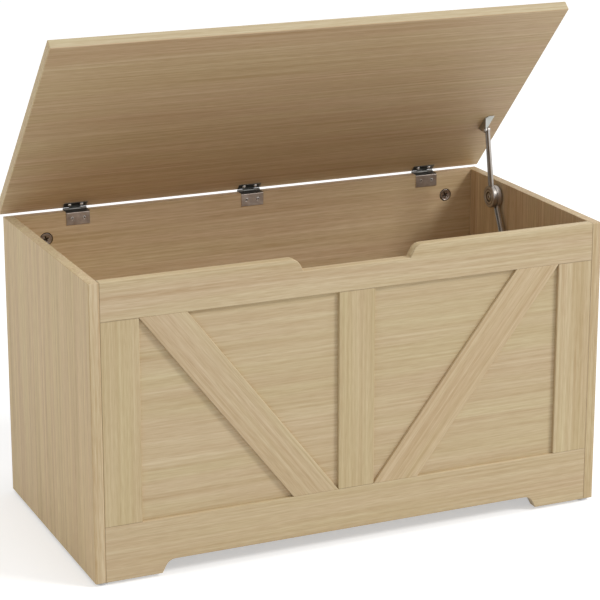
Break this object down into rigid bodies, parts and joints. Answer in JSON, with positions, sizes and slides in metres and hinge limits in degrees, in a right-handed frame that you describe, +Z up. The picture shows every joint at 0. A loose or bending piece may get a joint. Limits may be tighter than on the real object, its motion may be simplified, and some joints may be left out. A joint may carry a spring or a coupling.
{
  "type": "storage chest",
  "caption": "Wooden storage chest with a framed, braced front, a hinged lid held open by a folding friction stay, a hand notch and a kick arch",
  "frame": {"origin": "on the floor, under the middle of the whole object's box with the lid at rest, open", "axes": "+X to the right as seen from the front and along the longest side, the front faces -Y, +Z up"},
  "size_m": [0.8, 0.402, 0.7401],
  "materials": {
    "side_board": "light oak foil on board, grain upright",
    "back_board": "light oak foil on board, grain level",
    "panel_board": "light oak foil on board, grain level",
    "lid_board": "light oak foil on board, grain level",
    "rail_board": "light oak foil on board, grain level",
    "stile_board": "light oak foil on board, grain upright",
    "brace_board": "light oak foil on board, grain along the brace",
    "beech_dowel": "raw beech",
    "glide_plastic": "satin white plastic",
    "cam_zinc": "cast zinc, dull",
    "bolt_steel": "zinc plated",
    "screw_steel": "nickel plated",
    "hinge_steel": "nickel plated sheet",
    "hub_metal": "turned and nickel plated",
    "stay_steel": "nickel plated sheet"
  },
  "bodies": {
    "chest": {"back_cam_bolts": "bolt_steel", "back_cam_locks": "cam_zinc", "back_dowels": "beech_dowel", "back_panel": "back_board", "bottom_cam_bolts": "bolt_steel", "bottom_cam_locks": "cam_zinc", "bottom_dowels": "beech_dowel", "bottom_panel": "back_board", "bottom_rail": "rail_board", "center_stile": "stile_board", "feet": "glide_plastic", "foot_nails": "bolt_steel", "front_cam_bolts": "bolt_steel", "front_cam_locks": "cam_zinc", "front_dowels": "beech_dowel", "front_panel": "panel_board", "hinge_body_leaf_left": "hinge_steel", "hinge_body_leaf_middle": "hinge_steel", "hinge_body_leaf_right": "hinge_steel", "hinge_body_screws": "screw_steel", "hinge_pin_left": "hinge_steel", "hinge_pin_middle": "hinge_steel", "hinge_pin_right": "hinge_steel", "left_brace": "brace_board", "left_side_panel": "side_board", "left_stile": "stile_board", "right_brace": "brace_board", "right_side_panel": "side_board", "right_stile": "stile_board", "stay_side_bracket": "stay_steel", "stay_side_screws": "screw_steel", "top_rail": "rail_board"},
    "lid": {"hinge_lid_leaf_left": "hinge_steel", "hinge_lid_leaf_middle": "hinge_steel", "hinge_lid_leaf_right": "hinge_steel", "hinge_lid_screws": "screw_steel", "lid_panel": "lid_board", "stay_lid_bracket": "stay_steel", "stay_lid_pin": "stay_steel", "stay_lid_screws": "screw_steel"},
    "stay_upper": {"stay_upper_arm": "stay_steel", "stay_hub_cap": "hub_metal"},
    "stay_lower": {"stay_lower_arm": "stay_steel", "stay_hub_drum": "hub_metal", "stay_hub_rivet": "stay_steel", "stay_spring_washer": "stay_steel", "stay_side_rivet": "stay_steel"}
  },
  "joints": [
    {"name": "lid_hinge", "type": "hinge", "parent": "chest", "child": "lid", "pos_m": [0, 0.18896, 0.43475], "axis": [1, 0, 0], "range_deg": [0, 47.25]},
    {"name": "stay_lid_pivot", "type": "hinge", "parent": "lid", "child": "stay_upper", "pos_m": [0.3691, 0.10129, 0.51494], "axis": [1, 0, 0], "range_deg": [-0.5, 2.21]},
    {"name": "stay_hub_pivot", "type": "hinge", "parent": "stay_upper", "child": "stay_lower", "pos_m": [0.37, 0.08246, 0.4113], "axis": [1, 0, 0], "range_deg": [-101.26, 0.5]}
  ],
  "couplings": [
    {"joint": "stay_lid_pivot", "follows": "lid_hinge", "ratio": 0.036104},
    {"joint": "stay_hub_pivot", "follows": "lid_hinge", "ratio": -2.1324}
  ]
}
